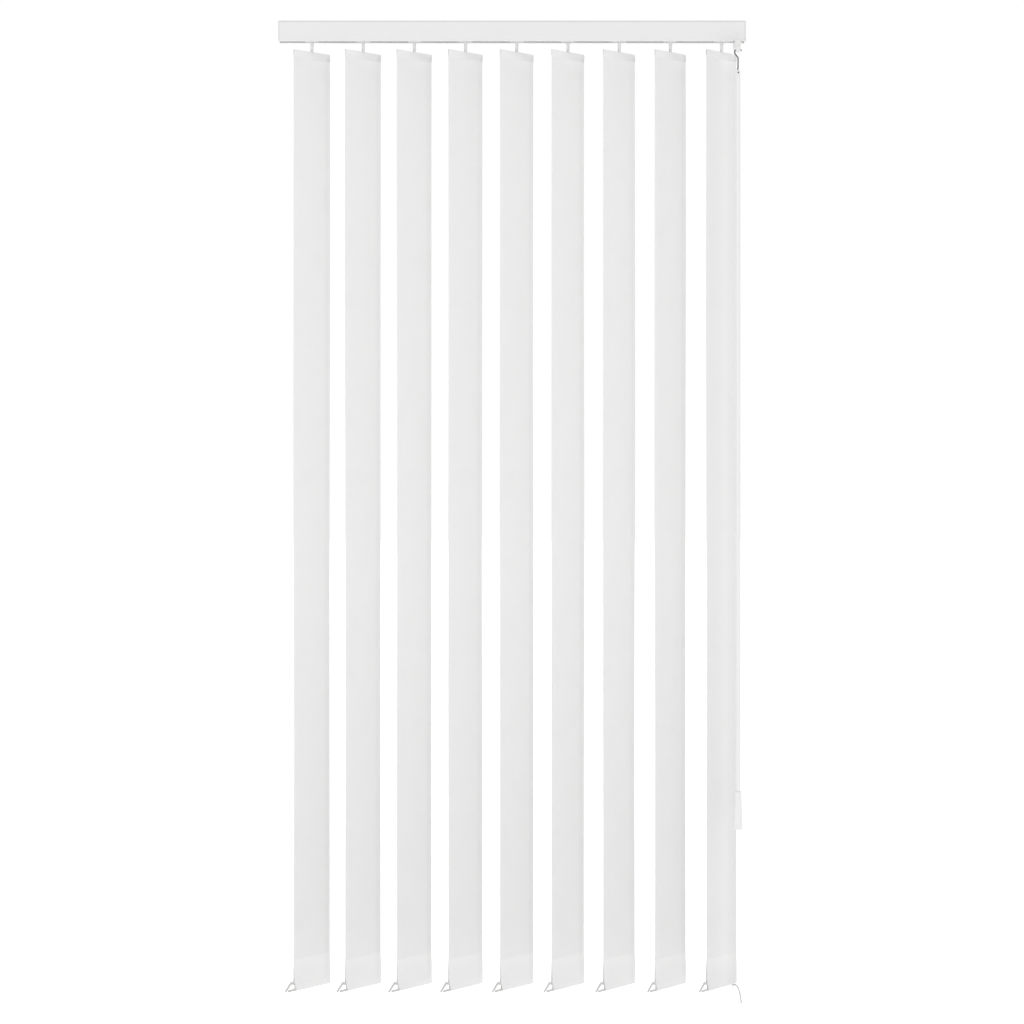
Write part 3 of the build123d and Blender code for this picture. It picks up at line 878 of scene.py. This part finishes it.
def node_tree(name: str, sizes: dict[str, float]) -> bpy.types.NodeTree:
    """A Geometry Nodes tree with a geometry input and output and named sizes.

    Args:
        name: of the tree.
        sizes: by input name, its default.

    Returns:
        The tree.
    """
    tree = bpy.data.node_groups.new(name, "GeometryNodeTree")
    sockets = tree.interface
    sockets.new_socket("Geometry", in_out="INPUT", socket_type="NodeSocketGeometry")
    for label, value in sizes.items():
        made = sockets.new_socket(label, in_out="INPUT", socket_type="NodeSocketFloat")
        made.default_value = value
    sockets.new_socket("Geometry", in_out="OUTPUT", socket_type="NodeSocketGeometry")
    return tree


def lay_along(
    tree: bpy.types.NodeTree, given: bpy.types.Node, shape: bpy.types.NodeSocket, look: Look
) -> None:
    """Lays a shape along the tree's curve at the tree's Pitch and ends the tree.

    Args:
        tree: the tree, with an input Pitch.
        given: its input node.
        shape: geometry, with its length along Z.
        look: the finish of what is laid.
    """
    spots = place(
        tree,
        "GeometryNodeCurveToPoints",
        {"mode": "LENGTH"},
        {"Curve": given.outputs["Geometry"], "Length": given.outputs["Pitch"]},
    )
    ways = {name: spots.outputs[name] for name in ("Points", "Rotation")}
    laid = place(tree, "GeometryNodeInstanceOnPoints", {}, {"Instance": shape, **ways})
    real = place(tree, "GeometryNodeRealizeInstances", {}, {"Geometry": laid.outputs[0]})
    parts = {"Geometry": real.outputs[0], "Material": look.material()}
    dressed = place(tree, "GeometryNodeSetMaterial", {}, parts)
    place(tree, "NodeGroupOutput", {}, {"Geometry": dressed.outputs[0]})


def settle(
    carrier: bpy.types.Object, tree: bpy.types.NodeTree, name: str, sizes: dict[str, float]
) -> bpy.types.Object:
    """Runs a tree on an object and keeps the result as a plain mesh.

    Args:
        carrier: the object that the tree starts from, which is then removed.
        tree: the tree.
        name: of the new object.
        sizes: values for the tree's named inputs.

    Returns:
        The new object.
    """
    modifier = carrier.modifiers.new("repeat", "NODES")
    modifier.node_group = tree
    for item in tree.interface.items_tree:
        if item.item_type == "SOCKET" and item.in_out == "INPUT" and item.name in sizes:
            modifier[item.identifier] = sizes[item.name]
    bpy.context.view_layer.update()
    graph = bpy.context.evaluated_depsgraph_get()
    data = bpy.data.meshes.new_from_object(carrier.evaluated_get(graph))
    data.name = name
    carrier.modifiers.remove(modifier)
    bpy.data.objects.remove(carrier)
    made = bpy.data.objects.new(name, data)
    bpy.context.scene.collection.objects.link(made)
    for polygon in data.polygons:
        polygon.use_smooth = True
    return made


def curve_object(name: str, points: list[Sequence[float]], bent: bool) -> bpy.types.Object:
    """A bare curve object through or near points.

    Args:
        name: of the object.
        points: in metres.
        bent: a NURBS line that the points pull, in place of straight runs.

    Returns:
        The curve object.
    """
    data = bpy.data.curves.new(name, "CURVE")
    data.dimensions = "3D"
    spline = data.splines.new("NURBS" if bent else "POLY")
    spline.points.add(len(points) - 1)
    for slot, point in zip(spline.points, points):
        slot.co = (*point, 1.0)
    if bent:
        spline.order_u = 3
        spline.use_endpoint_u = True
    made = bpy.data.objects.new(name, data)
    bpy.context.scene.collection.objects.link(made)
    return made


@dataclass
class Stitches:
    """A row of short thread stitches along a line.

    Args:
        line: points along the seam.
        pitch: from stitch to stitch.
        length: of one stitch.
        thread: radius of the thread.
    """

    line: list[Vector]
    pitch: float = 0.0032
    length: float = 0.0023
    thread: float = 0.00022

    @property
    def sizes(self) -> dict[str, float]:
        """The tree's named inputs."""
        return {"Pitch": self.pitch, "Length": self.length, "Thread": self.thread}

    def tree(self) -> bpy.types.NodeTree:
        """The tree that lays stitches along the seam, made once.

        Returns:
            The tree.
        """
        kept = bpy.data.node_groups.get("stitch_row")
        if kept:
            return kept
        tree = node_tree("stitch_row", self.sizes)
        given = place(tree, "NodeGroupInput", {}, {})
        thread = given.outputs["Thread"]
        ball = {"Segments": 6, "Rings": 5, "Radius": 1.0}
        stitch = place(tree, "GeometryNodeMeshUVSphere", {}, ball).outputs[0]
        halved = {0: given.outputs["Length"], 1: 0.5}
        half = place(tree, "ShaderNodeMath", {"operation": "MULTIPLY"}, halved).outputs[0]
        shape = place(tree, "ShaderNodeCombineXYZ", {}, {0: thread, 1: thread, 2: half}).outputs[0]
        sizes = {"Geometry": stitch, "Scale": shape}
        sized = place(tree, "GeometryNodeTransform", {}, sizes).outputs[0]
        lay_along(tree, given, sized, Look.THREAD)
        return tree

    def mesh(self, name: str) -> bpy.types.Object:
        """Lays the stitches.

        Args:
            name: of the finished piece.

        Returns:
            The stitches.
        """
        line = curve_object(f"{name}_line", self.line, bent=False)
        return settle(line, self.tree(), name, self.sizes)


# ---------------------------------------------------------------- beaded tail


@dataclass
class BeadedTail:
    """The loose end of the bead chain on the last vane: beads moulded on a thin string.

    Args:
        vane: the vane that it hangs from.
        across: where the tail starts, from the vane's middle towards its far edge.
        drop: of its start below the vane's lower edge.
        route: points of its line from there, across and up.
        bead: radius of a bead.
        string: radius of the string.
        pitch: from bead to bead.
        length: of the whole tail; not used.
        segments: faces round a bead.
        steps: pieces of the string between two points of its route.
    """

    vane: Vane
    across: float = 0.0495
    drop: float = 0.0025
    route: tuple[tuple[float, float], ...] = (
        (0.0, 0.0),
        (0.0085, 0.0),
        (0.0165, -0.0055),
        (0.0235, -0.0145),
        (0.0285, -0.026),
        (0.032, -0.0385),
        (0.0345, -0.0515),
    )
    bead: float = 0.0022
    string: float = 0.0012
    pitch: float = 0.0047
    length: float = 0.068
    segments: int = 20
    steps: int = 24

    def line(self) -> list[tuple[float, float, float]]:
        """The tail's line.

        Returns:
            The route's points in the row frame.
        """
        vane = self.vane
        places = []
        for across, up in self.route:
            spot = vane.centre + vane.side * (self.across + across)
            places.append((spot.x, spot.y, vane.foot - self.drop + up))
        return places

    @property
    def sizes(self) -> dict[str, float]:
        """The tree's named inputs."""
        return {"Pitch": self.pitch, "Bead": self.bead}

    def tree(self) -> bpy.types.NodeTree:
        """The tree that threads beads on the string.

        Returns:
            The tree.
        """
        tree = node_tree("bead_row", self.sizes)
        given = place(tree, "NodeGroupInput", {}, {})
        ball = {"Segments": self.segments, "Rings": 12, "Radius": given.outputs["Bead"]}
        bead = place(tree, "GeometryNodeMeshUVSphere", {}, ball).outputs[0]
        lay_along(tree, given, bead, Look.BEAD)
        return tree

    def build(self) -> None:
        points = self.line()
        string = curve_object("chain_string", points, bent=True)
        string.data.bevel_depth = self.string
        string.data.bevel_resolution = 4
        string.data.use_fill_caps = True
        string.data.resolution_u = self.steps
        string.data.materials.append(Look.BEAD.material())
        bead_line = curve_object("bead_line", points, bent=True)
        beads = settle(bead_line, self.tree(), "chain_beads", self.sizes)
        body = f"vane_body_{self.vane.number}"
        for piece in (string, beads):
            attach(piece, body)
        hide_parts("chain_tail")
        2 * self.string


# ---------------------------------------------------------------- camera, floor and light


@dataclass(frozen=True)
class Lamp:
    """A soft square lamp aimed at the blind's middle.

    Args:
        name: of the lamp.
        at: its place.
        size: of its side.
        power: in watts.
        aim: the place that it faces.
    """

    name: str
    at: tuple[float, float, float]
    size: float
    power: float
    aim: tuple[float, float, float] = (0.0, 0.0, -1.25)

    def build(self) -> None:
        """Makes the lamp."""
        data = bpy.data.lights.new(self.name, "AREA")
        data.size, data.energy = self.size, self.power
        made = bpy.data.objects.new(self.name, data)
        made.location = self.at
        way = Vector(self.aim) - Vector(self.at)
        made.rotation_euler = way.to_track_quat("-Z", "Y").to_euler()
        bpy.context.scene.collection.objects.link(made)


@dataclass
class Studio:
    """A level camera in front of the blind, a pale floor and soft light.

    Args:
        distance: from the camera to the rail's middle plane.
        height: z of the camera.
        lens: focal length for a sensor as wide as the next value, in millimetres.
        sensor: width of the sensor, in millimetres.
        shift: of the frame's middle from the camera's level, in frame widths.
        reach: how far the camera sees.
        floor_drop: of the floor below the blind.
        floor_half: half the side of the floor.
        floor_tone: its linear colour.
        floor_glow: strength of its own light.
        sky: strength of the surroundings on the left and on the right.
        lamps: the lamps.
    """

    distance: float = 6.2
    height: float = -1.068
    lens: float = 84.75
    sensor: float = 36.0
    shift: float = -0.0732
    reach: float = 60.0
    floor_drop: float = 0.09
    floor_half: float = 30.0
    floor_tone: float = 0.92
    floor_glow: float = 0.35
    sky: tuple[float, float] = (1.12, 0.90)
    lamps: tuple[Lamp, ...] = (
        Lamp("key", (-2.2, -4.8, 0.9), 2.4, 6.0),
        Lamp("fill", (3.2, -4.2, -0.6), 2.8, 3.0),
    )

    def camera(self) -> None:
        """Makes the camera."""
        data = bpy.data.cameras.new("front")
        data.lens = self.lens
        data.sensor_width = self.sensor
        data.shift_y = self.shift
        data.clip_end = self.reach
        made = bpy.data.objects.new("front", data)
        made.location = (0.0, -self.distance, self.height)
        made.rotation_euler = (math.radians(90.0), 0.0, 0.0)
        bpy.context.scene.collection.objects.link(made)
        bpy.context.scene.camera = made

    def floor(self) -> None:
        """Makes the floor."""
        half, low = self.floor_half, cad_box[0].z - self.floor_drop
        corners = [(x * half, y * half, low) for x, y in ((-1, -1), (1, -1), (1, 1), (-1, 1))]
        data = bpy.data.meshes.new("floor")
        data.from_pydata(corners, [], [(0, 1, 2, 3)])
        made = bpy.data.objects.new("floor", data)
        bpy.context.scene.collection.objects.link(made)
        material, shader, _ = Finish("pale_floor", (self.floor_tone,) * 3, 0.9).start()
        shader.inputs["Emission Color"].default_value = (1.0, 1.0, 1.0, 1.0)
        shader.inputs["Emission Strength"].default_value = self.floor_glow
        data.materials.append(material)

    def light(self) -> None:
        """Makes the white surroundings, which the camera sees as plain white, and the lamps."""
        world = bpy.data.worlds.new("white_room")
        bpy.context.scene.world = world
        world.use_nodes = True
        tree = world.node_tree
        tree.nodes.clear()
        way = place(tree, "ShaderNodeTexCoord", {}, {}).outputs["Generated"]
        spot = place(tree, "ShaderNodeSeparateXYZ", {}, {0: way})
        left, right = self.sky
        ends = {"Value": spot.outputs[0], "From Min": -1.0, "To Min": left, "To Max": right}
        lit = place(tree, "ShaderNodeMapRange", {}, ends).outputs[0]
        seen = place(tree, "ShaderNodeLightPath", {}, {}).outputs["Is Camera Ray"]
        power = place(tree, "ShaderNodeMath", {"operation": "MAXIMUM"}, {0: lit, 1: seen})
        white = {"Color": (1.0, 1.0, 1.0, 1.0), "Strength": power.outputs[0]}
        sky = place(tree, "ShaderNodeBackground", {}, white)
        place(tree, "ShaderNodeOutputWorld", {}, {"Surface": sky.outputs[0]})
        for lamp in self.lamps:
            lamp.build()
        scene = bpy.context.scene
        scene.view_settings.view_transform = "Standard"
        scene.view_settings.look = "None"

    def build(self) -> None:
        """Makes the camera, the floor and the light."""
        self.camera()
        self.floor()
        self.light()


# ---------------------------------------------------------------- the blind


def main() -> None:
    """Builds the blind's looks in order."""
    Studio().build()
    log.info("studio ready")
    count = sum(name.startswith("vane_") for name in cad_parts)
    # the last vane gets painted shade on its far side, where no neighbour shades it as the others
    # are shaded
    vanes = [Vane(number) for number in range(1, count)] + [Vane(count, painted_side_shade=1.0)]
    BeadedTail(vanes[-1]).build()
    log.info("beaded tail done")
    for vane in vanes:
        vane.build()
        log.info("vane %d done", vane.number)
    for group in (RAIL, DRIVE, CARRIERS, HANDLE):
        group.dress()


if __name__ == "__main__":
    main()
